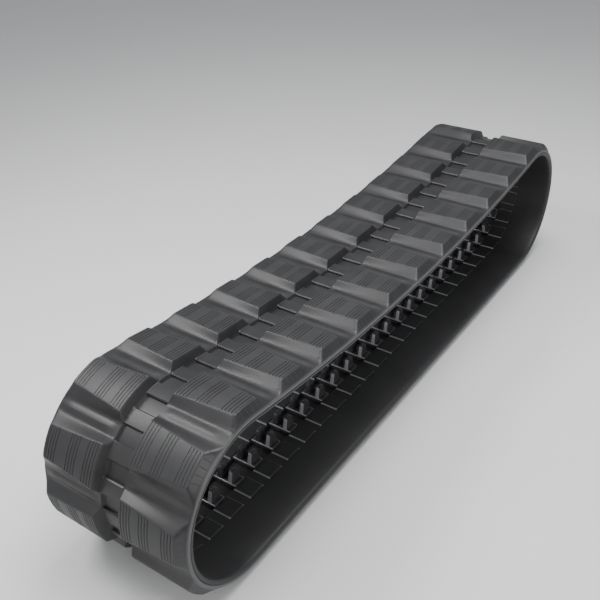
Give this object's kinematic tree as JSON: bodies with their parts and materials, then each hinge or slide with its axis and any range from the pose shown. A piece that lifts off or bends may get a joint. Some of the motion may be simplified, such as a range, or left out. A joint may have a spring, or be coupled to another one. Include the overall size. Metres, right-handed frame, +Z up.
{
  "type": "rubber track",
  "caption": "Endless rubber crawler track with staggered tread blocks, steel cord plies, embedded cores and inner guide lugs, on its ground run.",
  "frame": {"origin": "on the ground under the middle of the loop: the centre of the bounding box at its lowest face", "axes": "+X along the ground run towards the slightly larger far bend, +Y across the belt to the left, +Z up"},
  "size_m": [2.2736, 0.45, 0.51],
  "materials": {
    "tread_rubber": "satin black moulded tread rubber",
    "carcass_rubber": "satin black moulded carcass rubber",
    "cord_ply": "brass-plated steel cords",
    "core_steel": "forged steel, dark, bonded in rubber"
  },
  "bodies": {
    "ground_run": {"ground_run_tread": "tread_rubber", "ground_run_cord_plies": "cord_ply", "ground_run_cores": "core_steel", "ground_run_inner_left": "carcass_rubber", "ground_run_inner_right": "carcass_rubber", "near_bend_low_tread": "tread_rubber", "near_bend_low_cord_plies": "cord_ply", "near_bend_low_cores": "core_steel", "near_bend_low_inner_left": "carcass_rubber", "near_bend_low_inner_right": "carcass_rubber", "far_bend_low_tread": "tread_rubber", "far_bend_low_cord_plies": "cord_ply", "far_bend_low_cores": "core_steel", "far_bend_low_inner_left": "carcass_rubber", "far_bend_low_inner_right": "carcass_rubber"},
    "near_bend_mid": {"near_bend_mid_tread": "tread_rubber", "near_bend_mid_cord_plies": "cord_ply", "near_bend_mid_cores": "core_steel", "near_bend_mid_inner_left": "carcass_rubber", "near_bend_mid_inner_right": "carcass_rubber"},
    "near_bend_top": {"near_bend_top_tread": "tread_rubber", "near_bend_top_cord_plies": "cord_ply", "near_bend_top_cores": "core_steel", "near_bend_top_inner_left": "carcass_rubber", "near_bend_top_inner_right": "carcass_rubber"},
    "near_span_outer": {"near_span_outer_tread": "tread_rubber", "near_span_outer_cord_plies": "cord_ply", "near_span_outer_cores": "core_steel", "near_span_outer_inner_left": "carcass_rubber", "near_span_outer_inner_right": "carcass_rubber"},
    "near_span_inner": {"near_span_inner_tread": "tread_rubber", "near_span_inner_cord_plies": "cord_ply", "near_span_inner_cores": "core_steel", "near_span_inner_inner_left": "carcass_rubber", "near_span_inner_inner_right": "carcass_rubber"},
    "far_bend_mid": {"far_bend_mid_tread": "tread_rubber", "far_bend_mid_cord_plies": "cord_ply", "far_bend_mid_cores": "core_steel", "far_bend_mid_inner_left": "carcass_rubber", "far_bend_mid_inner_right": "carcass_rubber"},
    "far_bend_top": {"far_bend_top_tread": "tread_rubber", "far_bend_top_cord_plies": "cord_ply", "far_bend_top_cores": "core_steel", "far_bend_top_inner_left": "carcass_rubber", "far_bend_top_inner_right": "carcass_rubber"},
    "far_span_outer": {"far_span_outer_tread": "tread_rubber", "far_span_outer_cord_plies": "cord_ply", "far_span_outer_cores": "core_steel", "far_span_outer_inner_left": "carcass_rubber", "far_span_outer_inner_right": "carcass_rubber"},
    "far_span_inner": {"far_span_inner_tread": "tread_rubber", "far_span_inner_cord_plies": "cord_ply", "far_span_inner_cores": "core_steel", "far_span_inner_inner_left": "carcass_rubber", "far_span_inner_inner_right": "carcass_rubber"}
  },
  "joints": [
    {"name": "near_bend_mid_flex", "type": "hinge", "parent": "ground_run", "child": "near_bend_mid", "pos_m": [-1.0632, 0, 0.12536], "axis": [0, 1, 0], "range_deg": [-0.5, 0.5], "stiffness_Nm_per_rad": 15000},
    {"name": "near_bend_top_flex", "type": "hinge", "parent": "near_bend_mid", "child": "near_bend_top", "pos_m": [-1.07436, 0, 0.35713], "axis": [0, 1, 0], "range_deg": [-2.72, 2.72], "stiffness_Nm_per_rad": 15000},
    {"name": "near_span_outer_flex", "type": "hinge", "parent": "near_bend_top", "child": "near_span_outer", "pos_m": [-0.86906, 0, 0.46527], "axis": [0, 1, 0], "range_deg": [-0.82, 0.82], "stiffness_Nm_per_rad": 15000},
    {"name": "upper_span_flex", "type": "hinge", "parent": "near_span_outer", "child": "near_span_inner", "pos_m": [-0.44105, 0, 0.4227], "axis": [0, 1, 0], "range_deg": [-3, 3], "stiffness_Nm_per_rad": 15000},
    {"name": "far_bend_mid_flex", "type": "hinge", "parent": "ground_run", "child": "far_bend_mid", "pos_m": [1.07621, 0, 0.14991], "axis": [0, 1, 0], "range_deg": [-0.3075, 0.3075], "stiffness_Nm_per_rad": 15000},
    {"name": "far_bend_top_flex", "type": "hinge", "parent": "far_bend_mid", "child": "far_bend_top", "pos_m": [1.06242, 0, 0.38235], "axis": [0, 1, 0], "range_deg": [-2.57, 2.57], "stiffness_Nm_per_rad": 15000},
    {"name": "far_span_outer_flex", "type": "hinge", "parent": "far_bend_top", "child": "far_span_outer", "pos_m": [0.84801, 0, 0.47341], "axis": [0, 1, 0], "range_deg": [-0.76, 0.76], "stiffness_Nm_per_rad": 15000},
    {"name": "far_span_inner_flex", "type": "hinge", "parent": "far_span_outer", "child": "far_span_inner", "pos_m": [0.41985, 0, 0.4266], "axis": [0, 1, 0], "range_deg": [-3.04, 3.04], "stiffness_Nm_per_rad": 15000}
  ],
  "couplings": [
    {"joint": "near_bend_mid_flex", "follows": "upper_span_flex", "ratio": 0.15947},
    {"joint": "near_bend_top_flex", "follows": "upper_span_flex", "ratio": -0.89983},
    {"joint": "near_span_outer_flex", "follows": "upper_span_flex", "ratio": -0.2653},
    {"joint": "far_bend_mid_flex", "follows": "upper_span_flex", "ratio": -0.09583},
    {"joint": "far_bend_top_flex", "follows": "upper_span_flex", "ratio": 0.8513},
    {"joint": "far_span_outer_flex", "follows": "upper_span_flex", "ratio": 0.24514},
    {"joint": "far_span_inner_flex", "follows": "upper_span_flex", "ratio": -1.0063}
  ]
}
